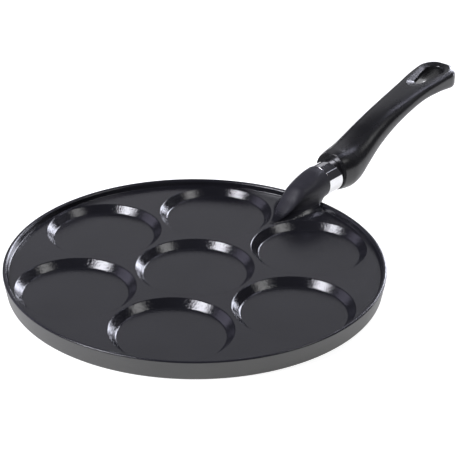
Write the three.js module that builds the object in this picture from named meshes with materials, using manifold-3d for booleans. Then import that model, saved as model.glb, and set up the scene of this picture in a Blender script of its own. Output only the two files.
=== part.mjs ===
// A plett pan: a round cast pan with seven shallow round wells and a fixed long handle.
// Millimetres. The origin is the centre of the flat base, +X runs along the handle, +Z is up.
import * as THREE from "three";
import { mergeVertices } from "three/addons/utils/BufferGeometryUtils.js";
import Module from "manifold-3d";

// Pan casting
const RIM_RADIUS = 130.6;
const RIM_HEIGHT = 14.4;
const RIM_WIDTH = 3;
const RIM_EDGE_RADIUS = 1.1;
const RIM_INNER_EDGE_RADIUS = 2;
const BASE_RADIUS = 128.2;
const BASE_EDGE_RADIUS = 1;
const BASE_FACE_RADIUS = 120;
const BASE_RELIEF = 0.4;
const PLATE_RADIUS = 126.6;
const PLATE_HEIGHT = 10;
const PLATE_FILLET = 0.8;

// Wells, one in the middle and six around it, with the handle between two of them
const OUTER_WELLS = 6;
const WELL_PITCH_RADIUS = 84.7;
const WELL_MOUTH_RADIUS = 40.6;
const WELL_FLOOR_RADIUS = 35.5;
const WELL_FLOOR_HEIGHT = 4.8;
const WELL_EDGE_RADIUS = 1.5;
const WELL_FLOOR_FILLET = 2.2;
const WELL_EDGE_LIFT = 0.02;

// Handle arm, cast in one with the pan. Each list gives [distance along the handle, value].
const AXIS_HEIGHT = 23.2;
const ARM_RADIUS = 12.2;
const ARM_START = 84;
const ARM_END = 139.3;
const ARM_TOP = [[ARM_START, 10.1], [88, 11], [92, 12.9], [96, 15.6], [100, 18.4], [104, 21.2],
  [108, 24.6], [113, 28.5], [118, 30.3], [126, 32.9], [133, 34.8],
  [ARM_END, AXIS_HEIGHT + ARM_RADIUS]];
const ARM_WAIST = [[ARM_START, 10.05], [88, 10.5], [92, 11.8], [96, 13.8], [100, 16], [104, 18.2],
  [108, 20], [113, 21.7], [118, 22.1], [126, 22.5], [ARM_END, AXIS_HEIGHT]];
const ARM_HALF_WIDTH = [[ARM_START, 1.2], [88, 2.4], [92, 3.9], [96, 5.4], [100, 6.6], [104, 7.4],
  [108, 8.3], [113, 9.3], [118, 10.3], [126, 11.5], [133, 12], [ARM_END, ARM_RADIUS]];
const ARM_FOOT_HALF_WIDTH = [[ARM_START, 2.2], [88, 3.6], [92, 5.5], [96, 8], [100, 11], [105, 15.6],
  [110, 20], [115, 22.6], [120, 23], [126, 20.5], [132, 16], [ARM_END, ARM_RADIUS]];
const ARM_UNDERSIDE = [[ARM_START, 6], [126, 5], [130, 4.8], [132.5, 8], [135.5, 10.1],
  [ARM_END, AXIS_HEIGHT - ARM_RADIUS]];
const ARM_SQUARENESS = [[ARM_START, 2], [96, 2.1], [118, 2.2], [126, 2.1], [137, 2], [ARM_END, 2]];
const ARM_FOOT_SINK = 0.2;
const ARM_ROUND_FROM = 124;
const ARM_ROUND_TO = 137;

// Spigot and tapped hole in the end of the arm
const SPIGOT_RADIUS = 10.6;
const SPIGOT_LENGTH = 7.5;
const TAPPED_HOLE_END = 119;

// Ferrule, a sleeve between the arm and the grip
const FIT_GAP = 0.3;
const FERRULE_RADIUS = 12.1;
const FERRULE_WALL = 1.2;
const FERRULE_EDGE_RADIUS = 0.4;

// Grip, moulded. Each list gives [distance along the handle, value].
const GRIP_START = 157;
const GRIP_TAIL = 294;
const GRIP_END = 308;
const FERRULE_LENGTH = GRIP_START - ARM_END - 2 * FIT_GAP;
const GRIP_TOP = [[GRIP_START, 40], [163, 40.9], [168, 41.1], [176, 42.2], [186, 45], [200, 50],
  [218, 55.3], [240, 59.5], [262, 63.1], [280, 65.3], [GRIP_TAIL, 67], [GRIP_END, 68.3]];
const GRIP_BOTTOM = [[GRIP_START, 11], [163, 10], [168, 9.9], [176, 12], [186, 19], [200, 27.9],
  [218, 36.9], [240, 45.6], [262, 51.3], [280, 53.1], [GRIP_TAIL, 52.1], [GRIP_END, 50.3]];
const GRIP_HALF_WIDTH = [[GRIP_START, 14], [163, 15.5], [168, 16.4], [176, 16.2], [186, 15.2],
  [200, 13.8], [218, 13], [240, 13.1], [262, 13.7], [280, 15.5], [GRIP_TAIL, 16.5], [GRIP_END, 17]];
const GRIP_SQUARENESS = [[GRIP_START, 2.1], [190, 2.3], [240, 2.6], [262, 3.2], [280, 4],
  [GRIP_END, 4]];
const GRIP_MOUTH_ROUNDING = 0.6;
const GRIP_MOUTH_SHARES = [0, 0.15, 0.5, 1];
const TAIL_PLAN_POWER = 2.1;
const TAIL_SIDE_POWER = 6;
const TAIL_LAST_SHARE = 0.995;
const NOSE_LENGTH = 6;

// Hanging hole: a drop shape in a shallow dish that runs out further at its narrow end
const HOLE_NARROW = { x: 271, radius: 2.8 };
const HOLE_WIDE = { x: 293, radius: 7.4 };
const HOLE_LIP_WIDTH = 1.2;
const HOLE_LIP_DEPTH = 3;
const HOLE_DISH_WIDTH = 4.5;
const HOLE_DISH_DEPTH = 1.4;
const HOLE_SCOOP = 0.5;

// Screw and washers, on the arm's axis, with the head in a recess in the grip's underside
const SCREW_RADIUS = 2.5;
const SCREW_TIP_ROUNDING = 0.8;
const SCREW_HEAD_RADIUS = 4.6;
const SCREW_HEAD_LENGTH = 3.4;
const SCREW_HEAD_ROUNDING = 1.4;
const SCREW_SLOT_WIDTH = 1.3;
const SCREW_SLOT_LENGTH = 5.4;
const SCREW_SLOT_DEPTH = 1.8;
const BORE_RADIUS = 2.8;
const RECESS_RADIUS = 6.2;
const RECESS_FLOOR = 168;
const RECESS_END = 212;
const FLAT_WASHER = { radius: 5.6, thickness: 1.2 };
const LOCK_WASHER = { radius: 4.5, thickness: 1.5, split: 0.8 };
const FLAT_WASHER_PLACE = RECESS_FLOOR + FIT_GAP;
const LOCK_WASHER_PLACE = FLAT_WASHER_PLACE + FLAT_WASHER.thickness + FIT_GAP;
const SCREW_PLACE = LOCK_WASHER_PLACE + LOCK_WASHER.thickness + FIT_GAP;
const SCREW_LENGTH = 50;

// Facets
const PAN_SEGMENTS = 84;
const WELL_SEGMENTS = 40;
const ARC_STEPS = 2;
const ARM_CROWN_STEPS = 6;
const ARM_FLARE_STEPS = 6;
const ARM_STEPS = 24;
const GRIP_SIDES = 28;
const GRIP_STEPS = 28;
const TAIL_STEPS = 8;
const ROUND_SEGMENTS = 36;
const SCREW_SEGMENTS = 20;
const LIP_STEPS = 3;
const HOLE_WIDE_STEPS = 16;
const HOLE_NARROW_STEPS = 8;

// How far solids run into or past each other where they are joined or cut
const OVERLAP = 1;
const HOLE_OVERRUN = 5;

const wasm = await Module();
wasm.setup();

// A closed geometry as a solid for joining and cutting.
function toSolid(geometry) {
  const bare = geometry.clone();
  bare.deleteAttribute("normal");
  bare.deleteAttribute("uv");
  const merged = mergeVertices(bare, 1e-4);
  const triVerts = [];
  const index = merged.index.array;
  for (let i = 0; i < index.length; i += 3) {
    const [a, b, c] = [index[i], index[i + 1], index[i + 2]];
    if (a !== b && b !== c && c !== a) triVerts.push(a, b, c);
  }
  const vertProperties = new Float32Array(merged.attributes.position.array);
  const mesh = new wasm.Mesh({ numProp: 3, vertProperties, triVerts: new Uint32Array(triVerts) });
  return new wasm.Manifold(mesh);
}

// A solid back as a geometry.
function toGeometry(solid) {
  const mesh = solid.getMesh();
  const geometry = new THREE.BufferGeometry();
  geometry.setAttribute("position", new THREE.BufferAttribute(mesh.vertProperties, mesh.numProp));
  geometry.setIndex(new THREE.BufferAttribute(mesh.triVerts, 1));
  geometry.computeVertexNormals();
  return geometry;
}

// A smooth value along X through a few stations.
function along(stations) {
  const positions = stations.map((station) => station[0]);
  const values = stations.map((station) => station[1]);
  const curve = new THREE.CubicInterpolant(positions, values, 1);
  return (x) => curve.evaluate(x)[0];
}

// Corners [radius, height, rounding] as a profile, each rounded corner being an arc.
function roundedProfile(corners) {
  const points = [];
  corners.forEach(([radius, height, rounding], i) => {
    const corner = new THREE.Vector2(radius, height);
    if (!rounding) {
      points.push(corner);
      return;
    }
    const before = new THREE.Vector2(...corners[i - 1]).sub(corner).normalize();
    const after = new THREE.Vector2(...corners[i + 1]).sub(corner).normalize();
    const halfAngle = Math.acos(before.dot(after)) / 2;
    const middle = before.clone().add(after).normalize();
    const centre = corner.clone().addScaledVector(middle, rounding / Math.sin(halfAngle));
    const start = corner.clone().addScaledVector(before, rounding / Math.tan(halfAngle));
    const turn = (Math.PI - 2 * halfAngle) * Math.sign(after.cross(before));
    for (let step = 0; step <= ARC_STEPS; step++) {
      points.push(start.clone().rotateAround(centre, (turn * step) / ARC_STEPS));
    }
  });
  return points;
}

// A profile of radius and height turned about the Z axis.
function turned(profile, segments) {
  return new THREE.LatheGeometry(profile, segments).rotateX(Math.PI / 2);
}

// A profile of radius and distance turned about the X axis.
function turnedAlongX(profile, segments) {
  return new THREE.LatheGeometry(profile, segments).rotateZ(-Math.PI / 2);
}

// A plain round bar on the handle's axis, as a solid.
function axisBar(radius, from, to, segments) {
  const ends = [[0, from], [radius, from], [radius, to], [0, to]];
  return toSolid(turnedAlongX(roundedProfile(ends), segments).translate(0, 0, AXIS_HEIGHT));
}

// A closed skin over rings of equal count, with a flat cap on the first and the last.
function loft(rings) {
  const count = rings[0].length;
  const points = rings.flat();
  const index = [];
  for (let ring = 0; ring < rings.length - 1; ring++) {
    for (let k = 0; k < count; k++) {
      const a = ring * count + k;
      const b = ring * count + ((k + 1) % count);
      index.push(a, b, a + count, b, b + count, a + count);
    }
  }
  const middle = (ring) => {
    const sum = new THREE.Vector3();
    for (const point of ring) sum.add(point);
    return sum.divideScalar(count);
  };
  const firstMiddle = points.push(middle(rings[0])) - 1;
  const lastMiddle = points.push(middle(rings.at(-1))) - 1;
  const last = (rings.length - 1) * count;
  for (let k = 0; k < count; k++) {
    const next = (k + 1) % count;
    index.push(firstMiddle, next, k, lastMiddle, last + k, last + next);
  }
  const geometry = new THREE.BufferGeometry().setFromPoints(points);
  geometry.setIndex(index);
  return geometry;
}

// Evenly spaced values from one end to the other.
function steps(from, to, count) {
  return Array.from({ length: count + 1 }, (_, k) => THREE.MathUtils.lerp(from, to, k / count));
}

// The pan without wells or arm: base, drafted wall, rim and plate.
function panDisc() {
  const profile = roundedProfile([
    [0, 0],
    [BASE_FACE_RADIUS, 0],
    [BASE_FACE_RADIUS + BASE_RELIEF, BASE_RELIEF],
    [BASE_RADIUS, BASE_RELIEF, BASE_EDGE_RADIUS],
    [RIM_RADIUS, RIM_HEIGHT, RIM_EDGE_RADIUS],
    [RIM_RADIUS - RIM_WIDTH, RIM_HEIGHT, RIM_INNER_EDGE_RADIUS],
    [PLATE_RADIUS, PLATE_HEIGHT, PLATE_FILLET],
    [0, PLATE_HEIGHT],
  ]);
  return toSolid(turned(profile, PAN_SEGMENTS));
}

// The space of one well, with its floor fillet and rounded edge.
function wellSpace() {
  const lip = PLATE_HEIGHT + WELL_EDGE_LIFT;
  const profile = roundedProfile([
    [0, WELL_FLOOR_HEIGHT],
    [WELL_FLOOR_RADIUS, WELL_FLOOR_HEIGHT, WELL_FLOOR_FILLET],
    [WELL_MOUTH_RADIUS, lip, WELL_EDGE_RADIUS],
    [WELL_MOUTH_RADIUS + WELL_EDGE_RADIUS, lip],
  ]);
  profile.pop();
  const mouth = profile.at(-1).x;
  profile.push(new THREE.Vector2(mouth, RIM_HEIGHT), new THREE.Vector2(0, RIM_HEIGHT));
  return turned(profile, WELL_SEGMENTS);
}

// Places of the wells on the plate.
function wellPlaces() {
  const places = [new THREE.Vector3()];
  for (let k = 0; k < OUTER_WELLS; k++) {
    const angle = ((k + 0.5) * 2 * Math.PI) / OUTER_WELLS;
    const x = WELL_PITCH_RADIUS * Math.cos(angle);
    const y = WELL_PITCH_RADIUS * Math.sin(angle);
    places.push(new THREE.Vector3(x, y, 0));
  }
  return places;
}

// The arm: a bar, round at the ferrule, that leans into the plate and spreads at its foot in a hollow curve.
function handleArm() {
  const top = along(ARM_TOP);
  const waistHeight = along(ARM_WAIST);
  const squareness = along(ARM_SQUARENESS);
  const halfWidth = along(ARM_HALF_WIDTH);
  const footHalfWidth = along(ARM_FOOT_HALF_WIDTH);
  const underside = along(ARM_UNDERSIDE);
  const footHeight = PLATE_HEIGHT - ARM_FOOT_SINK;
  const quarter = Math.PI / 2;

  // One side of the section, from its top to its underside, as distance from the middle and height.
  const side = (x) => {
    const half = halfWidth(x);
    const foot = footHalfWidth(x);
    const waist = waistHeight(x);
    const power = 2 / squareness(x);
    const crown = steps(quarter, 0, ARM_CROWN_STEPS).map((angle) => new THREE.Vector2(
      half * Math.max(0, Math.cos(angle)) ** power,
      waist + (top(x) - waist) * Math.sin(angle) ** power,
    ));
    const flare = steps(0, quarter, ARM_FLARE_STEPS).slice(1).map((angle) => new THREE.Vector2(
      foot - (foot - half) * Math.cos(angle),
      waist - (waist - footHeight) * Math.sin(angle),
    ));
    flare.push(new THREE.Vector2(foot, underside(x)));
    const roundness = THREE.MathUtils.smoothstep(x, ARM_ROUND_FROM, ARM_ROUND_TO);
    const lower = flare.map((point, k) => {
      const angle = (quarter * (k + 1)) / (flare.length + 0.5);
      const y = half * Math.cos(angle);
      const z = waist - (waist - underside(x)) * Math.sin(angle);
      return point.lerp(new THREE.Vector2(y, z), roundness);
    });
    return [...crown, ...lower];
  };
  const ring = (x) => {
    const points = side(x);
    const left = points.map((point) => new THREE.Vector3(x, point.x, point.y)).reverse();
    const right = points.slice(1).map((point) => new THREE.Vector3(x, -point.x, point.y));
    return [...left, ...right];
  };
  return toSolid(loft(steps(ARM_START, ARM_END, ARM_STEPS).map(ring)));
}

function makePanBody() {
  const spigotEnd = ARM_END + SPIGOT_LENGTH;
  let solid = panDisc().add(handleArm());
  solid = solid.add(axisBar(SPIGOT_RADIUS, ARM_END - OVERLAP, spigotEnd, ROUND_SEGMENTS));
  solid = solid.subtract(axisBar(BORE_RADIUS, TAPPED_HOLE_END, spigotEnd + OVERLAP, SCREW_SEGMENTS));
  const space = wellSpace();
  for (const place of wellPlaces()) {
    solid = solid.subtract(toSolid(space.clone().translate(place.x, place.y, place.z)));
  }
  return toGeometry(solid);
}

// A thin sleeve with rounded ends, from its end at the arm.
function makeFerrule() {
  const inside = FERRULE_RADIUS - FERRULE_WALL;
  const middle = FERRULE_LENGTH / 2;
  const profile = roundedProfile([
    [inside, middle],
    [inside, 0, FERRULE_EDGE_RADIUS],
    [FERRULE_RADIUS, 0, FERRULE_EDGE_RADIUS],
    [FERRULE_RADIUS, FERRULE_LENGTH, FERRULE_EDGE_RADIUS],
    [inside, FERRULE_LENGTH, FERRULE_EDGE_RADIUS],
    [inside, middle],
  ]);
  return turnedAlongX(profile, ROUND_SEGMENTS);
}

// Side lines and widths of the grip, shared by its skin and its hanging hole.
const gripTop = along(GRIP_TOP);
const gripBottom = along(GRIP_BOTTOM);
const gripHalfWidth = along(GRIP_HALF_WIDTH);
const gripSquareness = along(GRIP_SQUARENESS);

// One upright section of the grip, rounded in at the mouth and round the tail.
function gripRing(x) {
  const intoMouth = Math.min(1, (x - GRIP_START) / GRIP_MOUTH_ROUNDING);
  const inset = GRIP_MOUTH_ROUNDING * (1 - Math.sqrt(1 - (1 - intoMouth) ** 2));
  const pastTail = Math.max(0, (x - GRIP_TAIL) / (GRIP_END - GRIP_TAIL));
  const planShare = (1 - pastTail ** TAIL_PLAN_POWER) ** (1 / TAIL_PLAN_POWER);
  const sideShare = (1 - pastTail ** TAIL_SIDE_POWER) ** (1 / TAIL_SIDE_POWER);
  const halfWidth = gripHalfWidth(x) * planShare - inset;
  const halfHeight = ((gripTop(x) - gripBottom(x)) / 2) * sideShare - inset;
  const middle = (gripTop(x) + gripBottom(x)) / 2;
  const power = 2 / gripSquareness(x);
  const bulge = (value) => Math.sign(value) * Math.abs(value) ** power;
  return Array.from({ length: GRIP_SIDES }, (_, k) => {
    const angle = ((k + 0.5) * 2 * Math.PI) / GRIP_SIDES;
    const y = halfWidth * bulge(Math.cos(angle));
    const z = middle + halfHeight * bulge(Math.sin(angle));
    return new THREE.Vector3(x, y, z);
  });
}

// Stations of the grip: close together round the mouth and round the tail.
function gripStations() {
  const mouth = GRIP_MOUTH_SHARES.map((share) => GRIP_START + share * GRIP_MOUTH_ROUNDING);
  const body = steps(GRIP_START + GRIP_MOUTH_ROUNDING, GRIP_TAIL, GRIP_STEPS).slice(1);
  const tailLength = (GRIP_END - GRIP_TAIL) * TAIL_LAST_SHARE;
  const turns = steps(0, Math.PI / 2, TAIL_STEPS).slice(1);
  const tail = turns.map((angle) => GRIP_TAIL + tailLength * Math.sin(angle));
  return [...mouth, ...body, ...tail];
}

// The outline of the hanging hole, widened by an offset: two arcs and the lines that touch both.
function holeOutline(offset) {
  const narrowEnd = { x: HOLE_NARROW.x - HOLE_SCOOP * offset, radius: HOLE_NARROW.radius };
  const slope = Math.asin((HOLE_WIDE.radius - narrowEnd.radius) / (HOLE_WIDE.x - narrowEnd.x));
  const touch = Math.PI / 2 + slope;
  const arc = (circle, from, to, count) => steps(from, to, count).map((angle) => new THREE.Vector2(
    circle.x + (circle.radius + offset) * Math.cos(angle),
    (circle.radius + offset) * Math.sin(angle),
  ));
  const wide = arc(HOLE_WIDE, -touch, touch, HOLE_WIDE_STEPS);
  const narrow = arc(narrowEnd, touch, 2 * Math.PI - touch, HOLE_NARROW_STEPS);
  return [...wide, ...narrow];
}

// The space of the hanging hole, with a dish and a rounded lip on both faces of the grip.
function hangingHole() {
  const quarter = steps(0, Math.PI / 2, LIP_STEPS);
  const lip = quarter.map((angle) => ({
    depth: HOLE_DISH_DEPTH + HOLE_LIP_DEPTH * (1 - Math.cos(angle)),
    widening: HOLE_LIP_WIDTH * (1 - Math.sin(angle)),
  }));
  const edge = HOLE_LIP_WIDTH + HOLE_DISH_WIDTH;
  lip.unshift({ depth: -HOLE_OVERRUN, widening: edge }, { depth: 0, widening: edge });
  const lower = lip.map(({ depth, widening }) => holeOutline(widening).map(
    (point) => new THREE.Vector3(point.x, point.y, gripBottom(point.x) + depth),
  ));
  const upper = lip.map(({ depth, widening }) => holeOutline(widening).map(
    (point) => new THREE.Vector3(point.x, point.y, gripTop(point.x) - depth),
  ));
  return toSolid(loft([...lower, ...upper.reverse()]));
}

function makeGrip() {
  const nose = GRIP_START - NOSE_LENGTH;
  let solid = toSolid(loft(gripStations().map(gripRing)));
  solid = solid.add(axisBar(SPIGOT_RADIUS, nose, GRIP_START + OVERLAP, ROUND_SEGMENTS));
  solid = solid.subtract(axisBar(BORE_RADIUS, nose - OVERLAP, RECESS_END, SCREW_SEGMENTS));
  solid = solid.subtract(axisBar(RECESS_RADIUS, RECESS_FLOOR, RECESS_END, ROUND_SEGMENTS));
  return toGeometry(solid.subtract(hangingHole()));
}

// A pan-head screw with a cross recess, from the underside of its head.
function makeScrew() {
  const profile = roundedProfile([
    [0, -SCREW_LENGTH],
    [SCREW_RADIUS, -SCREW_LENGTH, SCREW_TIP_ROUNDING],
    [SCREW_RADIUS, 0],
    [SCREW_HEAD_RADIUS, 0],
    [SCREW_HEAD_RADIUS, SCREW_HEAD_LENGTH, SCREW_HEAD_ROUNDING],
    [0, SCREW_HEAD_LENGTH],
  ]);
  const slot = new THREE.BoxGeometry(2 * SCREW_SLOT_DEPTH, SCREW_SLOT_LENGTH, SCREW_SLOT_WIDTH);
  slot.translate(SCREW_HEAD_LENGTH, 0, 0);
  let solid = toSolid(turnedAlongX(profile, SCREW_SEGMENTS));
  solid = solid.subtract(toSolid(slot));
  solid = solid.subtract(toSolid(slot.clone().rotateX(Math.PI / 2)));
  return toGeometry(solid);
}

// A washer for the screw, from its near face.
function washer(size) {
  const near = [[BORE_RADIUS, 0], [size.radius, 0]];
  const far = [[size.radius, size.thickness], [BORE_RADIUS, size.thickness]];
  return turnedAlongX(roundedProfile([...near, ...far, near[0]]), SCREW_SEGMENTS);
}

// A spring washer with a split at its top.
function makeLockWasher() {
  const { thickness, radius, split } = LOCK_WASHER;
  const cut = new THREE.BoxGeometry(thickness + 2 * OVERLAP, split, radius);
  cut.translate(thickness / 2, 0, radius);
  return toGeometry(toSolid(washer(LOCK_WASHER)).subtract(toSolid(cut)));
}

const coating = new THREE.MeshStandardMaterial({ color: 0x2b2c30, roughness: 0.45, metalness: 0.1 });
const polishedSteel = new THREE.MeshStandardMaterial({ color: 0xd9dadd, roughness: 0.1, metalness: 1 });
const phenolic = new THREE.MeshStandardMaterial({ color: 0x1d1d20, roughness: 0.4, metalness: 0 });
const platedSteel = new THREE.MeshStandardMaterial({ color: 0xa9abad, roughness: 0.35, metalness: 1 });

// Each piece has its place along the group that it belongs to.
const pan = new THREE.Group();
const onAxis = new THREE.Group();
onAxis.position.z = AXIS_HEIGHT;
pan.add(onAxis);

function place(group, name, geometry, material, x) {
  const mesh = new THREE.Mesh(geometry, material.clone());
  mesh.name = name;
  mesh.position.x = x;
  group.add(mesh);
}

place(pan, "pan_body", makePanBody(), coating, 0);
place(pan, "handle_grip", makeGrip(), phenolic, 0);
place(onAxis, "handle_ferrule", makeFerrule(), polishedSteel, ARM_END + FIT_GAP);
place(onAxis, "flat_washer", washer(FLAT_WASHER), platedSteel, FLAT_WASHER_PLACE);
place(onAxis, "lock_washer", makeLockWasher(), platedSteel, LOCK_WASHER_PLACE);
place(onAxis, "handle_screw", makeScrew(), platedSteel, SCREW_PLACE);

export default pan;
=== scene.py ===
import math
import bmesh
import bpy
from mathutils import Matrix, Vector


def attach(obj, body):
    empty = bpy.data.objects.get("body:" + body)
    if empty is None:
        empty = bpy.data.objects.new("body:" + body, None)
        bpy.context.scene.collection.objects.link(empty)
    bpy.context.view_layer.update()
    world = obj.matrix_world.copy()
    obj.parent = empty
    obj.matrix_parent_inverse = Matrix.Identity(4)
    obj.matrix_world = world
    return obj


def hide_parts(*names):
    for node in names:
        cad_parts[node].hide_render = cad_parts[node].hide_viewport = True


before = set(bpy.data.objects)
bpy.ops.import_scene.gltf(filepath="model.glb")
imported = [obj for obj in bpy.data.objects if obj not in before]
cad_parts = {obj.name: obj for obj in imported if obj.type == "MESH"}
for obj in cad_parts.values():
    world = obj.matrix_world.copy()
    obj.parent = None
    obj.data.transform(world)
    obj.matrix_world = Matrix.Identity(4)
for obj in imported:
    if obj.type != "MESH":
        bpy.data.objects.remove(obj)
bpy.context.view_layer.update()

# Lengths are millimetres in the frame of the CAD model, unless a heading says otherwise.
# Meshes are scaled to metres when they are made.
MM = 0.001

# Pan casting
RIM_RADIUS = 130.6
RIM_HEIGHT = 14.4
RIM_WIDTH = 3
RIM_EDGE_RADIUS = 1.1
RIM_INNER_EDGE_RADIUS = 2
BASE_RADIUS = 128.2
BASE_EDGE_RADIUS = 1
BASE_FACE_RADIUS = 120
BASE_RELIEF = 0.4
PLATE_RADIUS = 126.6
PLATE_HEIGHT = 10
PLATE_FILLET = 0.8

# Wells
OUTER_WELLS = 6
WELL_PITCH_RADIUS = 84.7
WELL_MOUTH_RADIUS = 40.6
WELL_FLOOR_RADIUS = 35.5
WELL_FLOOR_HEIGHT = 4.8
WELL_EDGE_RADIUS = 1.5
WELL_FLOOR_FILLET = 2.2
WELL_EDGE_LIFT = 0.02

# Handle arm. Each list gives a distance along the handle and the value there.
AXIS_HEIGHT = 23.2
ARM_RADIUS = 12.2
ARM_START = 84
ARM_END = 139.3
ARM_TOP = [
    (ARM_START, 10.1), (88, 11), (92, 12.9), (96, 15.6), (100, 18.4), (104, 21.2), (108, 24.6),
    (113, 28.5), (118, 30.3), (126, 32.9), (133, 34.8), (ARM_END, AXIS_HEIGHT + ARM_RADIUS),
]
ARM_WAIST = [
    (ARM_START, 10.05), (88, 10.5), (92, 11.8), (96, 13.8), (100, 16), (104, 18.2), (108, 20),
    (113, 21.7), (118, 22.1), (126, 22.5), (ARM_END, AXIS_HEIGHT),
]
ARM_HALF_WIDTH = [
    (ARM_START, 1.2), (88, 2.4), (92, 3.9), (96, 5.4), (100, 6.6), (104, 7.4), (108, 8.3),
    (113, 9.3), (118, 10.3), (126, 11.5), (133, 12), (ARM_END, ARM_RADIUS),
]
ARM_FOOT_HALF_WIDTH = [
    (ARM_START, 2.2), (88, 3.6), (92, 5.5), (96, 8), (100, 11), (105, 15.6), (110, 20),
    (115, 22.6), (120, 23), (126, 20.5), (132, 16), (ARM_END, ARM_RADIUS),
]
ARM_UNDERSIDE = [
    (ARM_START, 6), (126, 5), (130, 4.8), (132.5, 8), (135.5, 10.1),
    (ARM_END, AXIS_HEIGHT - ARM_RADIUS),
]
ARM_SQUARENESS = [(ARM_START, 2), (96, 2.1), (118, 2.2), (126, 2.1), (137, 2), (ARM_END, 2)]
ARM_FOOT_SINK = 0.2
ARM_ROUND_FROM = 124
ARM_ROUND_TO = 137
SPIGOT_RADIUS = 10.6
SPIGOT_LENGTH = 7.5
TAPPED_HOLE_END = 119

# Ferrule
FIT_GAP = 0.3
FERRULE_RADIUS = 12.1
FERRULE_WALL = 1.2
FERRULE_EDGE_RADIUS = 0.4

# Grip. Each list gives a distance along the handle and the value there.
GRIP_START = 157
GRIP_TAIL = 294
GRIP_END = 308
GRIP_TOP = [
    (GRIP_START, 40), (163, 40.9), (168, 41.1), (176, 42.2), (186, 45), (200, 50), (218, 55.3),
    (240, 59.5), (262, 63.1), (280, 65.3), (GRIP_TAIL, 67), (GRIP_END, 68.3),
]
GRIP_BOTTOM = [
    (GRIP_START, 11), (163, 10), (168, 9.9), (176, 12), (186, 19), (200, 27.9), (218, 36.9),
    (240, 45.6), (262, 51.3), (280, 53.1), (GRIP_TAIL, 52.1), (GRIP_END, 50.3),
]
GRIP_HALF_WIDTH = [
    (GRIP_START, 14), (163, 15.5), (168, 16.4), (176, 16.2), (186, 15.2), (200, 13.8), (218, 13),
    (240, 13.1), (262, 13.7), (280, 15.5), (GRIP_TAIL, 16.5), (GRIP_END, 17),
]
GRIP_SQUARENESS = [
    (GRIP_START, 2.1), (190, 2.3), (240, 2.6), (262, 3.2), (280, 4), (GRIP_END, 4),
]
GRIP_MOUTH_ROUNDING = 0.6
TAIL_PLAN_POWER = 2.1
TAIL_SIDE_POWER = 6
TAIL_LAST_SHARE = 0.995
NOSE_LENGTH = 6

# Hanging hole: two circles, each with its place along the handle and its radius, and a dish
HOLE_NARROW = (271, 2.8)
HOLE_WIDE = (293, 7.4)
HOLE_LIP_WIDTH = 1.2
HOLE_LIP_DEPTH = 3
HOLE_DISH_WIDTH = 4.5
HOLE_DISH_DEPTH = 1.4
HOLE_SCOOP = 0.5
HOLE_OVERRUN = 5

# Screw and washers
SCREW_RADIUS = 2.5
SCREW_LENGTH = 50
SCREW_TIP_ROUNDING = 0.8
SCREW_HEAD_RADIUS = 4.6
SCREW_HEAD_LENGTH = 3.4
SCREW_HEAD_ROUNDING = 1.4
SCREW_HEAD_EDGE_RADIUS = 0.25
SCREW_SLOT_WIDTH = 1.3
SCREW_SLOT_LENGTH = 5.4
SCREW_SLOT_DEPTH = 1.8
BORE_RADIUS = 2.8
RECESS_RADIUS = 6.2
RECESS_FLOOR = 168
RECESS_END = 212
FLAT_WASHER = {"radius": 5.6, "thickness": 1.2}
LOCK_WASHER = {"radius": 4.5, "thickness": 1.5, "split": 0.8}
WASHER_EDGE_RADIUS = 0.25
WASHER_BORE_EDGE_RADIUS = 0.15
FLAT_WASHER_PLACE = RECESS_FLOOR + FIT_GAP
LOCK_WASHER_PLACE = FLAT_WASHER_PLACE + FLAT_WASHER["thickness"] + FIT_GAP
SCREW_PLACE = LOCK_WASHER_PLACE + LOCK_WASHER["thickness"] + FIT_GAP

# How far a solid that is joined or cut out reaches past the face that it meets
OVERLAP = 1

# Facets
PAN_SEGMENTS = 288
WELL_SEGMENTS = 144
ROUND_SEGMENTS = 96
SCREW_SEGMENTS = 64
ARC_STEPS = 8
ARM_CROWN_STEPS = 28
ARM_FLARE_STEPS = 28
ARM_STEPS = 112
GRIP_SIDES = 96
GRIP_STEPS = 140
MOUTH_STEPS = 8
TAIL_STEPS = 28
HOLE_WIDE_STEPS = 56
HOLE_NARROW_STEPS = 36

# Clean meshes. The last two are metres.
SAME_POINT = 1e-6
SHARP_ANGLE = math.radians(32)
NORMAL_WEIGHT = 100
MERGE_DISTANCE = 2e-6
DEGENERATE_DISTANCE = 1e-6

# The casting's three materials, and which of its faces get the wall's or the base's
COATING_INDEX, WALL_INDEX, BASE_INDEX = range(3)
BASE_FACING = -0.9
WALL_FACING = 0.5
WALL_BELOW_RIM = 0.8
WALL_SLACK = 0.1

# Looks. Colours are linear, scales are per metre, and depths and heights are metres.
CLOUD_DETAIL = 4
GRAIN_DETAIL = 2
COATING = {
    "cloud_scale": 26,
    "colours": ((0.0105, 0.0105, 0.0135), (0.0145, 0.0145, 0.018)),
    "roughness": (0.1, 0.15),
    "specular": 0.5,
    "grain_scale": 820,
    "bump_depth": 0.00014,
}
# On the arm above the rim, the lighter lavender-tinted colours are a painted sheen. The roughness
# and specular there are the real, duller coat.
ARM_COATING_AND_SHEEN = {
    "heights": (0.0125, 0.018),
    "colours": ((0.022, 0.0215, 0.027), (0.031, 0.03, 0.0375)),
    "roughness": 0.42,
    "specular": 0.26,
}
WALL = {
    "cloud_scale": 30,
    "colours": ((0.056, 0.056, 0.055), (0.07, 0.07, 0.068)),
    "roughness": (0.42, 0.5),
    "grain_scale": 1500,
    "bump_depth": 0.00001,
}
BASE = {
    "cloud_scale": 18,
    "colours": ((0.42, 0.42, 0.43), (0.56, 0.56, 0.57)),
    "roughness": (0.28, 0.4),
    "anisotropy": 0.5,
    "ring_scale": 420,
    "ring_distortion": 0.6,
    "bump_depth": 0.00004,
}
CHROME = {
    "cloud_scale": 70,
    "colours": ((0.64, 0.64, 0.655), (0.74, 0.74, 0.755)),
    "roughness": (0.06, 0.12),
    "bump_depth": 0.000012,
}
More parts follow.
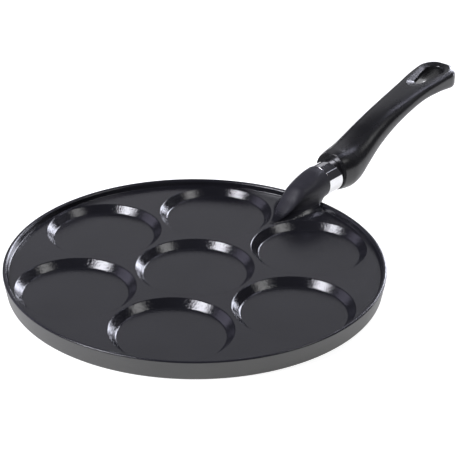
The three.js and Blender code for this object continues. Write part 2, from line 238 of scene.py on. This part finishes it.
PHENOLIC = {
    "cloud_scale": 34,
    "colours": ((0.0105, 0.0105, 0.0115), (0.0145, 0.0145, 0.0155)),
    "roughness": (0.24, 0.31),
    "grain_scale": 2200,
    "bump_depth": 0.000008,
}
PLATED = {
    "cloud_scale": 400,
    "colours": ((0.5, 0.5, 0.49), (0.64, 0.63, 0.6)),
    "roughness": (0.25, 0.4),
    "bump_depth": 0.00001,
}

# Sockets of a Mix node that mixes colours
MIX_LOW, MIX_HIGH, MIX_RESULT = 6, 7, 2

# Floor
FLOOR_HALF_SIZE = 12000
FLOOR_COLOUR = (0.45, 0.45, 0.45, 1)
FLOOR_ROUGHNESS = 0.9
FLOOR_SPECULAR = 0.1
FLOOR_GLOW_COLOUR = (1, 1, 1, 1)
FLOOR_GLOW = 0.9

# Sky: dark, with a soft round glow behind the pan that is cut off on the right
SKY_DARK = (0.045, 0.045, 0.052)
SKY_GLOW = (0.46, 0.46, 0.49)
GLOW_DIRECTION = (0.03, 0.87, 0.49)
GLOW_EDGE = (0.93, 0.965)
GLOW_RIGHT_END = (0.15, 0.19)

# Colours of the softboxes
NEUTRAL = (1, 1, 1)
PALE_BLUE = (0.92, 0.92, 1)
COOL = (0.86, 0.87, 1)
BLUE = (0.8, 0.8, 1)
LAVENDER = (0.8, 0.76, 1)

# Camera, solved from the outlines of the rim, the base and the wells. Distances are metres.
HANDLE_AZIMUTH = math.radians(49.824)
CAMERA_ELEVATION = math.radians(29.032)
CAMERA_DISTANCE = 1.11566
CAMERA_PAN = math.radians(1.192)
CAMERA_TILT = math.radians(-1.772)
CAMERA_ROLL = math.radians(-0.078)
CAMERA_FOCAL_PIXELS = 1625.89
CAMERA_CLIP_START = 0.01
CAMERA_CLIP_END = 100
IMAGE_WIDTH = 458
SENSOR_WIDTH = 36


def smoothstep(x, low, high):
    share = min(1, max(0, (x - low) / (high - low)))
    return share * share * (3 - 2 * share)


def steps(low, high, count):
    return [low + (high - low) * k / count for k in range(count + 1)]


def along(stations):
    """A smooth value along X through a few stations."""
    xs = [x for x, _ in stations]
    ys = [y for _, y in stations]
    rises = [(ys[k + 1] - ys[k]) / (xs[k + 1] - xs[k]) for k in range(len(xs) - 1)]
    slopes = [rises[0]] + [(a + b) / 2 for a, b in zip(rises, rises[1:])] + [rises[-1]]

    def value(x):
        k = 0
        while k < len(xs) - 2 and x > xs[k + 1]:
            k += 1
        span = xs[k + 1] - xs[k]
        t = (x - xs[k]) / span
        return ((1 + 2 * t) * (1 - t) ** 2 * ys[k] + t * (1 - t) ** 2 * span * slopes[k]
                + t * t * (3 - 2 * t) * ys[k + 1] + t * t * (t - 1) * span * slopes[k + 1])

    return value


def rounded_profile(corners):
    """Corners (radius, height, rounding) as a line of points, each rounded corner being an arc."""
    points = []
    for i, corner in enumerate(corners):
        here = Vector(corner[:2])
        rounding = corner[2] if len(corner) > 2 else 0
        if not rounding:
            points.append(here)
            continue
        before = (Vector(corners[i - 1][:2]) - here).normalized()
        after = (Vector(corners[i + 1][:2]) - here).normalized()
        half = math.acos(max(-1, min(1, before.dot(after)))) / 2
        centre = here + (before + after).normalized() * (rounding / math.sin(half))
        start = here + before * (rounding / math.tan(half)) - centre
        turn = math.copysign(math.pi - 2 * half, after.x * before.y - after.y * before.x)
        for step in range(ARC_STEPS + 1):
            points.append(centre + Matrix.Rotation(turn * step / ARC_STEPS, 2) @ start)
    return points


def mesh_object(name, bm):
    """A new object from a bmesh in millimetres, with its faces turned outwards."""
    bmesh.ops.recalc_face_normals(bm, faces=bm.faces)
    bmesh.ops.scale(bm, vec=(MM, MM, MM), verts=bm.verts)
    mesh = bpy.data.meshes.new(name)
    bm.to_mesh(mesh)
    bm.free()
    made = bpy.data.objects.new(name, mesh)
    bpy.context.scene.collection.objects.link(made)
    return made


def turned(name, profile, segments, place):
    """A profile of radius and distance, turned about an axis.

    place(distance, across, up) gives the point.
    """
    bm = bmesh.new()
    closed = (profile[0] - profile[-1]).length < SAME_POINT
    points = profile[:-1] if closed else profile
    turns = [2 * math.pi * k / segments for k in range(segments)]
    rows = []
    for radius, distance in points:
        if radius < SAME_POINT:
            rows.append([bm.verts.new(place(distance, 0, 0))])
            continue
        row = [place(distance, radius * math.cos(a), radius * math.sin(a)) for a in turns]
        rows.append([bm.verts.new(point) for point in row])
    pairs = list(zip(rows, rows[1:]))
    if closed:
        pairs.append((rows[-1], rows[0]))
    for a, b in pairs:
        if len(a) == 1 or len(b) == 1:
            bm.faces.new(a if len(b) == 1 else b)
            bm.verts.remove((b if len(b) == 1 else a)[0])
            continue
        for k in range(segments):
            n = (k + 1) % segments
            bm.faces.new((a[k], a[n], b[n], b[k]))
    return mesh_object(name, bm)


def upright(distance, across, up):
    return (across, up, distance)


def on_axis(distance, across, up):
    return (distance, across, AXIS_HEIGHT + up)


def axis_bar(name, radius, low, high):
    """A round bar on the handle's axis."""
    ends = [(0, low), (radius, low), (radius, high), (0, high)]
    return turned(name, rounded_profile(ends), ROUND_SEGMENTS, on_axis)


def loft(name, rings):
    """A closed skin over rings of equal count."""
    bm = bmesh.new()
    rows = [[bm.verts.new(point) for point in ring] for ring in rings]
    count = len(rings[0])
    for a, b in zip(rows, rows[1:]):
        for k in range(count):
            n = (k + 1) % count
            bm.faces.new((a[k], a[n], b[n], b[k]))
    bm.faces.new(rows[0])
    bm.faces.new(rows[-1])
    return mesh_object(name, bm)


def box(name, size, centre):
    bm = bmesh.new()
    bmesh.ops.create_cube(bm, size=1)
    bmesh.ops.scale(bm, vec=size, verts=bm.verts)
    bmesh.ops.translate(bm, vec=centre, verts=bm.verts)
    return mesh_object(name, bm)


def settle(target):
    """Applies an object's modifiers to its mesh."""
    graph = bpy.context.evaluated_depsgraph_get()
    mesh = bpy.data.meshes.new_from_object(target.evaluated_get(graph))
    target.modifiers.clear()
    old = target.data
    target.data = mesh
    bpy.data.meshes.remove(old)


def combine(target, tool, operation):
    """Joins a tool to a target, or cuts it out, and removes the tool."""
    change = target.modifiers.new(operation, "BOOLEAN")
    change.operation = operation
    change.solver = "EXACT"
    change.object = tool
    settle(target)
    mesh = tool.data
    bpy.data.objects.remove(tool)
    bpy.data.meshes.remove(mesh)


def soften(target):
    """Smooth shading that leaves flat faces flat and keeps real edges."""
    mesh = target.data
    bm = bmesh.new()
    bm.from_mesh(mesh)
    bmesh.ops.remove_doubles(bm, verts=bm.verts, dist=MERGE_DISTANCE)
    bmesh.ops.dissolve_degenerate(bm, edges=bm.edges, dist=DEGENERATE_DISTANCE)
    bm.to_mesh(mesh)
    bm.free()
    mesh.polygons.foreach_set("use_smooth", [True] * len(mesh.polygons))
    mesh.set_sharp_from_angle(angle=SHARP_ANGLE)
    weighted = target.modifiers.new("normals", "WEIGHTED_NORMAL")
    weighted.mode = "FACE_AREA"
    weighted.weight = NORMAL_WEIGHT
    weighted.keep_sharp = True
    settle(target)


# Materials
def new_material(name):
    material = bpy.data.materials.new(name)
    material.use_nodes = True
    return material, material.node_tree.nodes, material.node_tree.links


def noise(nodes, links, scale, detail):
    coordinates = nodes.new("ShaderNodeTexCoord")
    made = nodes.new("ShaderNodeTexNoise")
    made.inputs["Scale"].default_value = scale
    made.inputs["Detail"].default_value = detail
    links.new(coordinates.outputs["Object"], made.inputs["Vector"])
    return made.outputs["Fac"]


def ramp(nodes, links, factor, low, high, start=0.3, end=0.7):
    """A colour that goes from low to high while the factor goes from start to end."""
    made = nodes.new("ShaderNodeValToRGB")
    first, last = made.color_ramp.elements
    first.position = start
    last.position = end
    first.color = (*low, 1)
    last.color = (*high, 1)
    links.new(factor, made.inputs["Fac"])
    return made.outputs["Color"]


def span(nodes, links, factor, low, high, start=0.3, end=0.7):
    """A number that goes from low to high while the factor goes from start to end."""
    made = nodes.new("ShaderNodeMapRange")
    made.inputs["From Min"].default_value = start
    made.inputs["From Max"].default_value = end
    made.inputs["To Min"].default_value = low
    made.inputs["To Max"].default_value = high
    links.new(factor, made.inputs["Value"])
    return made.outputs["Result"]


def blend(nodes, links, factor, low, high):
    made = nodes.new("ShaderNodeMix")
    made.data_type = "RGBA"
    links.new(factor, made.inputs["Factor"])
    links.new(low, made.inputs[MIX_LOW])
    links.new(high, made.inputs[MIX_HIGH])
    return made.outputs[MIX_RESULT]


def bump(nodes, links, height, depth):
    """Gives the shader a relief."""
    made = nodes.new("ShaderNodeBump")
    made.inputs["Strength"].default_value = 1
    made.inputs["Distance"].default_value = depth
    links.new(height, made.inputs["Height"])
    links.new(made.outputs["Normal"], nodes["Principled BSDF"].inputs["Normal"])


def drift(nodes, links, look):
    """Lets colour and roughness drift with a cloud, and returns the cloud."""
    shader = nodes["Principled BSDF"]
    cloud = noise(nodes, links, look["cloud_scale"], CLOUD_DETAIL)
    links.new(ramp(nodes, links, cloud, *look["colours"]), shader.inputs["Base Color"])
    links.new(span(nodes, links, cloud, *look["roughness"]), shader.inputs["Roughness"])
    return cloud


def grained_material(name, look):
    """A satin surface with a fine grain."""
    material, nodes, links = new_material(name)
    drift(nodes, links, look)
    bump(nodes, links, noise(nodes, links, look["grain_scale"], GRAIN_DETAIL), look["bump_depth"])
    return material


def metal_material(name, look):
    """Metal with faint smears."""
    material, nodes, links = new_material(name)
    nodes["Principled BSDF"].inputs["Metallic"].default_value = 1
    bump(nodes, links, drift(nodes, links, look), look["bump_depth"])
    return material


def coating_material():
    """Satin black non-stick coating with a sprayed grain, duller on the cast arm above the rim,
    where a lighter base colour is a painted sheen.
    """
    material, nodes, links = new_material("nonstick_coating")
    shader = nodes["Principled BSDF"]
    cloud = noise(nodes, links, COATING["cloud_scale"], CLOUD_DETAIL)
    coordinates = nodes.new("ShaderNodeTexCoord")
    place = nodes.new("ShaderNodeSeparateXYZ")
    links.new(coordinates.outputs["Object"], place.inputs["Vector"])
    on_arm = span(nodes, links, place.outputs["Z"], 0, 1, *ARM_COATING_AND_SHEEN["heights"])
    sprayed = ramp(nodes, links, cloud, *COATING["colours"])
    # Painted sheen: the arm's colour gets lighter from the rim upwards, standing in for light on
    # it.
    painted_arm_sheen = ramp(nodes, links, cloud, *ARM_COATING_AND_SHEEN["colours"])
    links.new(blend(nodes, links, on_arm, sprayed, painted_arm_sheen), shader.inputs["Base Color"])
    glossy = span(nodes, links, cloud, *COATING["roughness"])
    rough = nodes.new("ShaderNodeMapRange")
    rough.inputs["To Max"].default_value = ARM_COATING_AND_SHEEN["roughness"]
    links.new(on_arm, rough.inputs["Value"])
    links.new(glossy, rough.inputs["To Min"])
    links.new(rough.outputs["Result"], shader.inputs["Roughness"])
    shine = span(nodes, links, on_arm, COATING["specular"], ARM_COATING_AND_SHEEN["specular"], 0, 1)
    links.new(shine, shader.inputs["Specular IOR Level"])
    grain = noise(nodes, links, COATING["grain_scale"], GRAIN_DETAIL)
    bump(nodes, links, grain, COATING["bump_depth"])
    return material


def base_material():
    """Bare turned metal with rings of tool marks."""
    material, nodes, links = new_material("turned_base")
    shader = nodes["Principled BSDF"]
    shader.inputs["Metallic"].default_value = 1
    shader.inputs["Anisotropic"].default_value = BASE["anisotropy"]
    coordinates = nodes.new("ShaderNodeTexCoord")
    rings = nodes.new("ShaderNodeTexWave")
    rings.wave_type = "RINGS"
    rings.rings_direction = "Z"
    rings.inputs["Scale"].default_value = BASE["ring_scale"]
    rings.inputs["Distortion"].default_value = BASE["ring_distortion"]
    rings.inputs["Detail"].default_value = GRAIN_DETAIL
    links.new(coordinates.outputs["Object"], rings.inputs["Vector"])
    drift(nodes, links, BASE)
    bump(nodes, links, rings.outputs["Fac"], BASE["bump_depth"])
    return material


# Pieces
def finish_piece(piece, node, slot, *materials):
    piece.data.materials.clear()
    for material in materials:
        piece.data.materials.append(material)
    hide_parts(node)
    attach(piece, "root")


def pan_disc():
    profile = rounded_profile([
        (0, 0),
        (BASE_FACE_RADIUS, 0),
        (BASE_FACE_RADIUS + BASE_RELIEF, BASE_RELIEF),
        (BASE_RADIUS, BASE_RELIEF, BASE_EDGE_RADIUS),
        (RIM_RADIUS, RIM_HEIGHT, RIM_EDGE_RADIUS),
        (RIM_RADIUS - RIM_WIDTH, RIM_HEIGHT, RIM_INNER_EDGE_RADIUS),
        (PLATE_RADIUS, PLATE_HEIGHT, PLATE_FILLET),
        (0, PLATE_HEIGHT),
    ])
    return turned("casting", profile, PAN_SEGMENTS, upright)


def well_space(x, y):
    """The space in a well and above it, to be cut out of the plate."""
    lip = PLATE_HEIGHT + WELL_EDGE_LIFT
    profile = rounded_profile([
        (0, WELL_FLOOR_HEIGHT),
        (WELL_FLOOR_RADIUS, WELL_FLOOR_HEIGHT, WELL_FLOOR_FILLET),
        (WELL_MOUTH_RADIUS, lip, WELL_EDGE_RADIUS),
        (WELL_MOUTH_RADIUS + WELL_EDGE_RADIUS, lip),
    ])[:-1]
    profile += [Vector((profile[-1].x, RIM_HEIGHT)), Vector((0, RIM_HEIGHT))]
    return turned("well", profile, WELL_SEGMENTS, lambda up, a, b: (x + a, y + b, up))


def handle_arm():
    """The arm as a loft: a crown above the waist, and a flared foot that turns round at the end."""
    top = along(ARM_TOP)
    waist_height = along(ARM_WAIST)
    squareness = along(ARM_SQUARENESS)
    half_width = along(ARM_HALF_WIDTH)
    foot_half_width = along(ARM_FOOT_HALF_WIDTH)
    underside = along(ARM_UNDERSIDE)
    foot_height = PLATE_HEIGHT - ARM_FOOT_SINK
    quarter = math.pi / 2

    def side(x):
        half = half_width(x)
        foot = foot_half_width(x)
        crown = top(x)
        bottom = underside(x)
        waist = waist_height(x)
        power = 2 / squareness(x)
        roundness = smoothstep(x, ARM_ROUND_FROM, ARM_ROUND_TO)
        points = []
        for angle in steps(quarter, 0, ARM_CROWN_STEPS):
            across = max(0, math.cos(angle)) ** power
            points.append((half * across, waist + (crown - waist) * math.sin(angle) ** power))
        flare = []
        for angle in steps(0, quarter, ARM_FLARE_STEPS)[1:]:
            flare_y = foot - (foot - half) * math.cos(angle)
            flare_z = waist - (waist - foot_height) * math.sin(angle)
            flare.append((flare_y, flare_z))
        flare.append((foot, bottom))
        for k, (y, z) in enumerate(flare):
            # The last point is half a step short of the middle, so the two sides share none.
            angle = quarter * (k + 1) / (len(flare) + 0.5)
            round_y = half * math.cos(angle)
            round_z = waist - (waist - bottom) * math.sin(angle)
            points.append((y + (round_y - y) * roundness, z + (round_z - z) * roundness))
        return points

    def ring(x):
        points = side(x)
        left = [(x, y, z) for y, z in points[::-1]]
        right = [(x, -y, z) for y, z in points[1:]]
        return left + right

    return loft("arm", [ring(x) for x in steps(ARM_START, ARM_END, ARM_STEPS)])


def sort_casting_faces(casting):
    """Gives the outside wall and the base their own materials. The rest keeps the coating."""
    wall_low = BASE_RADIUS - BASE_EDGE_RADIUS
    for face in casting.data.polygons:
        face.material_index = COATING_INDEX
        centre = face.center / MM
        radius = math.hypot(centre.x, centre.y)
        on_wall = wall_low < radius < RIM_RADIUS + WALL_SLACK
        if face.normal.z < BASE_FACING and centre.z < BASE_RELIEF / 2:
            face.material_index = BASE_INDEX
        elif on_wall and centre.z < RIM_HEIGHT - WALL_BELOW_RIM:
            outward = (face.normal.x * centre.x + face.normal.y * centre.y) / radius
            if outward > WALL_FACING:
                face.material_index = WALL_INDEX


def make_pan_body():
    spigot_end = ARM_END + SPIGOT_LENGTH
    body = pan_disc()
    combine(body, handle_arm(), "UNION")
    combine(body, axis_bar("spigot", SPIGOT_RADIUS, ARM_END - OVERLAP, spigot_end), "UNION")
    bore = axis_bar("bore", BORE_RADIUS, TAPPED_HOLE_END, spigot_end + OVERLAP)
    combine(body, bore, "DIFFERENCE")
    combine(body, well_space(0, 0), "DIFFERENCE")
    for k in range(OUTER_WELLS):
        angle = (k + 0.5) * 2 * math.pi / OUTER_WELLS
        place = (WELL_PITCH_RADIUS * math.cos(angle), WELL_PITCH_RADIUS * math.sin(angle))
        combine(body, well_space(*place), "DIFFERENCE")
    soften(body)
    materials = (coating_material(), grained_material("outer_wall", WALL), base_material())
    finish_piece(body, "pan_body", "coated_casting", *materials)
    sort_casting_faces(body)


def make_ferrule():
    low = ARM_END + FIT_GAP
    high = GRIP_START - FIT_GAP
    inside = FERRULE_RADIUS - FERRULE_WALL
    profile = rounded_profile([
        (inside, (low + high) / 2),
        (inside, low, FERRULE_EDGE_RADIUS),
        (FERRULE_RADIUS, low, FERRULE_EDGE_RADIUS),
        (FERRULE_RADIUS, high, FERRULE_EDGE_RADIUS),
        (inside, high, FERRULE_EDGE_RADIUS),
        (inside, (low + high) / 2),
    ])
    ferrule = turned("ferrule", profile, ROUND_SEGMENTS, on_axis)
    soften(ferrule)
    chrome = metal_material("polished_steel", CHROME)
    finish_piece(ferrule, "handle_ferrule", "polished_steel", chrome)


grip_top = along(GRIP_TOP)
grip_bottom = along(GRIP_BOTTOM)
grip_half_width = along(GRIP_HALF_WIDTH)
grip_squareness = along(GRIP_SQUARENESS)


def grip_ring(x):
    """The grip's outline across the handle, rounded in at the mouth and at the tail."""
    into_mouth = min(1, (x - GRIP_START) / GRIP_MOUTH_ROUNDING)
    inset = GRIP_MOUTH_ROUNDING * (1 - math.sqrt(max(0, 1 - (1 - into_mouth) ** 2)))
    past_tail = max(0, (x - GRIP_TAIL) / (GRIP_END - GRIP_TAIL))
    plan_share = (1 - past_tail ** TAIL_PLAN_POWER) ** (1 / TAIL_PLAN_POWER)
    side_share = (1 - past_tail ** TAIL_SIDE_POWER) ** (1 / TAIL_SIDE_POWER)
    half_width = grip_half_width(x) * plan_share - inset
    half_height = (grip_top(x) - grip_bottom(x)) / 2 * side_share - inset
    middle = (grip_top(x) + grip_bottom(x)) / 2
    power = 2 / grip_squareness(x)
    points = []
    for k in range(GRIP_SIDES):
        angle = (k + 0.5) * 2 * math.pi / GRIP_SIDES
        side = math.copysign(abs(math.cos(angle)) ** power, math.cos(angle))
        rise = math.copysign(abs(math.sin(angle)) ** power, math.sin(angle))
        points.append((x, half_width * side, middle + half_height * rise))
    return points


def grip_stations():
    quarter = math.pi / 2
    mouth = [GRIP_START + GRIP_MOUTH_ROUNDING * (1 - math.cos(angle))
             for angle in steps(0, quarter, MOUTH_STEPS)]
    body = steps(GRIP_START + GRIP_MOUTH_ROUNDING, GRIP_TAIL, GRIP_STEPS)[1:]
    length = (GRIP_END - GRIP_TAIL) * TAIL_LAST_SHARE
    tail = [GRIP_TAIL + length * math.sin(angle) for angle in steps(0, quarter, TAIL_STEPS)[1:]]
    return mouth + body + tail


def hole_outline(widening):
    """The drop shape round the hole's two circles, widened on all sides."""
    narrow_end = (HOLE_NARROW[0] - HOLE_SCOOP * widening, HOLE_NARROW[1])
    slope = math.asin((HOLE_WIDE[1] - narrow_end[1]) / (HOLE_WIDE[0] - narrow_end[0]))
    touch = math.pi / 2 + slope

    def arc(circle, low, high, count):
        radius = circle[1] + widening
        return [(circle[0] + radius * math.cos(angle), radius * math.sin(angle))
                for angle in steps(low, high, count)]

    wide = arc(HOLE_WIDE, -touch, touch, HOLE_WIDE_STEPS)
    narrow = arc(narrow_end, touch, 2 * math.pi - touch, HOLE_NARROW_STEPS)
    return wide + narrow


def hanging_hole():
    """The space in the hole, with a dish and a rounded lip on both sides of the grip."""
    edge = HOLE_LIP_WIDTH + HOLE_DISH_WIDTH
    lip = [(-HOLE_OVERRUN, edge), (0, edge)]
    for angle in steps(0, math.pi / 2, ARC_STEPS):
        depth = HOLE_DISH_DEPTH + HOLE_LIP_DEPTH * (1 - math.cos(angle))
        lip.append((depth, HOLE_LIP_WIDTH * (1 - math.sin(angle))))
    lower = [[(x, y, grip_bottom(x) + depth) for x, y in hole_outline(wide)] for depth, wide in lip]
    upper = [[(x, y, grip_top(x) - depth) for x, y in hole_outline(wide)] for depth, wide in lip]
    return loft("hole", lower + upper[::-1])


def make_grip():
    nose = GRIP_START - NOSE_LENGTH
    grip = loft("grip", [grip_ring(x) for x in grip_stations()])
    combine(grip, axis_bar("nose", SPIGOT_RADIUS, nose, GRIP_START + OVERLAP), "UNION")
    combine(grip, axis_bar("bore", BORE_RADIUS, nose - OVERLAP, RECESS_END), "DIFFERENCE")
    combine(grip, axis_bar("recess", RECESS_RADIUS, RECESS_FLOOR, RECESS_END), "DIFFERENCE")
    combine(grip, hanging_hole(), "DIFFERENCE")
    soften(grip)
    phenolic = grained_material("black_phenolic", PHENOLIC)
    finish_piece(grip, "handle_grip", "black_phenolic", phenolic)


def make_screw(plated):
    profile = rounded_profile([
        (0, -SCREW_LENGTH),
        (SCREW_RADIUS, -SCREW_LENGTH, SCREW_TIP_ROUNDING),
        (SCREW_RADIUS, 0),
        (SCREW_HEAD_RADIUS, 0, SCREW_HEAD_EDGE_RADIUS),
        (SCREW_HEAD_RADIUS, SCREW_HEAD_LENGTH, SCREW_HEAD_ROUNDING),
        (0, SCREW_HEAD_LENGTH),
    ])
    screw = turned("screw", profile, SCREW_SEGMENTS,
                   lambda d, a, b: on_axis(SCREW_PLACE + d, a, b))
    centre = on_axis(SCREW_PLACE + SCREW_HEAD_LENGTH, 0, 0)
    depth = 2 * SCREW_SLOT_DEPTH
    for size in ((depth, SCREW_SLOT_LENGTH, SCREW_SLOT_WIDTH),
                 (depth, SCREW_SLOT_WIDTH, SCREW_SLOT_LENGTH)):
        combine(screw, box("slot", size, centre), "DIFFERENCE")
    soften(screw)
    finish_piece(screw, "handle_screw", "plated_steel", plated)


def washer(name, size, place):
    thick = size["thickness"]
    profile = rounded_profile([
        (BORE_RADIUS, thick / 2),
        (BORE_RADIUS, 0, WASHER_BORE_EDGE_RADIUS),
        (size["radius"], 0, WASHER_EDGE_RADIUS),
        (size["radius"], thick, WASHER_EDGE_RADIUS),
        (BORE_RADIUS, thick, WASHER_BORE_EDGE_RADIUS),
        (BORE_RADIUS, thick / 2),
    ])
    return turned(name, profile, SCREW_SEGMENTS, lambda d, a, b: on_axis(place + d, a, b))


def make_washers(plated):
    flat = washer("plain_washer", FLAT_WASHER, FLAT_WASHER_PLACE)
    soften(flat)
    finish_piece(flat, "flat_washer", "plated_steel", plated)
    spring = washer("spring_washer", LOCK_WASHER, LOCK_WASHER_PLACE)
    thick = LOCK_WASHER["thickness"]
    radius = LOCK_WASHER["radius"]
    split = (thick + 2 * OVERLAP, LOCK_WASHER["split"], radius)
    cut = box("split", split, on_axis(LOCK_WASHER_PLACE + thick / 2, 0, radius))
    combine(spring, cut, "DIFFERENCE")
    soften(spring)
    finish_piece(spring, "lock_washer", "plated_steel", plated)


make_pan_body()
make_ferrule()
make_grip()
plated_steel = metal_material("plated_steel", PLATED)
make_screw(plated_steel)
make_washers(plated_steel)


# Floor, light and camera. Directions are given as seen from the camera: right, away and up.
def from_camera(right, away, up):
    sine = math.sin(HANDLE_AZIMUTH)
    cosine = math.cos(HANDLE_AZIMUTH)
    return Vector((right * cosine + away * sine, -right * sine + away * cosine, up))


def make_floor():
    bm = bmesh.new()
    bmesh.ops.create_grid(bm, x_segments=1, y_segments=1, size=FLOOR_HALF_SIZE)
    floor = mesh_object("floor", bm)
    material, nodes, _ = new_material("pale_floor")
    shader = nodes["Principled BSDF"]
    shader.inputs["Base Color"].default_value = FLOOR_COLOUR
    shader.inputs["Roughness"].default_value = FLOOR_ROUGHNESS
    shader.inputs["Specular IOR Level"].default_value = FLOOR_SPECULAR
    shader.inputs["Emission Color"].default_value = FLOOR_GLOW_COLOUR
    shader.inputs["Emission Strength"].default_value = FLOOR_GLOW
    floor.data.materials.append(material)


def soft_box(name, direction, distance, width, height, glow, colour, turn=0):
    """A softbox that faces the pan. Glow is its brightness as seen in a mirror. Metres."""
    light = bpy.data.lights.new(name, "AREA")
    light.shape = "RECTANGLE"
    light.size = width
    light.size_y = height
    light.energy = glow * math.pi * width * height
    light.color = colour
    lamp = bpy.data.objects.new(name, light)
    place = from_camera(*direction).normalized()
    lamp.location = place * distance
    facing = place.to_track_quat("Z", "Y").to_matrix() @ Matrix.Rotation(turn, 3, "Z")
    lamp.rotation_euler = facing.to_euler()
    bpy.context.scene.collection.objects.link(lamp)


def make_sky():
    world = bpy.data.worlds.new("studio")
    bpy.context.scene.world = world
    world.use_nodes = True
    nodes = world.node_tree.nodes
    links = world.node_tree.links
    coordinates = nodes.new("ShaderNodeTexCoord")

    def towards(direction):
        made = nodes.new("ShaderNodeVectorMath")
        made.operation = "DOT_PRODUCT"
        made.inputs[1].default_value = direction
        links.new(coordinates.outputs["Generated"], made.inputs[0])
        return made.outputs["Value"]

    facing = towards(from_camera(*GLOW_DIRECTION).normalized())
    beside = towards(from_camera(1, 0, 0))
    inside = nodes.new("ShaderNodeMath")
    inside.operation = "MULTIPLY"
    links.new(span(nodes, links, facing, 0, 1, *GLOW_EDGE), inside.inputs[0])
    links.new(span(nodes, links, beside, 1, 0, *GLOW_RIGHT_END), inside.inputs[1])
    sky = ramp(nodes, links, inside.outputs["Value"], SKY_DARK, SKY_GLOW, 0, 1)
    links.new(sky, nodes["Background"].inputs["Color"])
    nodes["Background"].inputs["Strength"].default_value = 1


def make_light():
    make_sky()
    soft_box("left_softbox", (-0.605, -0.24, 0.76), distance=1.5, width=0.48, height=0.66,
             glow=24, colour=PALE_BLUE)
    soft_box("right_softbox", (0.64, -0.15, 0.75), distance=1.6, width=0.46, height=0.5,
             glow=4.6, colour=NEUTRAL)
    soft_box("back_panel", (0.511, 0.817, 0.267), distance=2.2, width=0.62, height=1.36,
             glow=12, colour=COOL, turn=math.radians(-10))
    soft_box("back_card", (0.341, 0.823, 0.454), distance=2.2, width=0.3, height=0.3,
             glow=14, colour=COOL)
    soft_box("low_card", (0.84, 0.535, 0.087), distance=2.28, width=0.32, height=0.34,
             glow=16, colour=COOL)
    soft_box("top_card", (0.425, 0.465, 0.777), distance=2.2, width=0.55, height=0.26,
             glow=5, colour=BLUE)
    soft_box("left_card", (-0.81, 0.38, 0.44), distance=1.8, width=1, height=0.78,
             glow=1.1, colour=LAVENDER)
    soft_box("right_strip", (0.725, 0.358, 0.588), distance=1.6, width=0.05, height=1,
             glow=1.2, colour=COOL, turn=math.radians(40))


def make_camera():
    sine = math.sin(CAMERA_ELEVATION)
    cosine = math.cos(CAMERA_ELEVATION)
    right = from_camera(1, 0, 0)
    back = from_camera(0, -cosine, sine)
    up = back.cross(right)
    roll = Matrix.Rotation(CAMERA_ROLL, 3, "Z")
    tilt = Matrix.Rotation(CAMERA_TILT, 3, "X")
    pan = Matrix.Rotation(CAMERA_PAN, 3, "Y")
    axes = roll @ tilt @ pan @ Matrix((right, up, back))
    data = bpy.data.cameras.new("camera")
    data.sensor_width = SENSOR_WIDTH
    data.lens = SENSOR_WIDTH * CAMERA_FOCAL_PIXELS / IMAGE_WIDTH
    data.clip_start = CAMERA_CLIP_START
    data.clip_end = CAMERA_CLIP_END
    camera = bpy.data.objects.new("camera", data)
    camera.matrix_world = Matrix.Translation(back * CAMERA_DISTANCE) @ axes.transposed().to_4x4()
    bpy.context.scene.collection.objects.link(camera)
    bpy.context.scene.camera = camera
    bpy.context.scene.view_settings.view_transform = "Standard"


make_floor()
make_light()
make_camera()
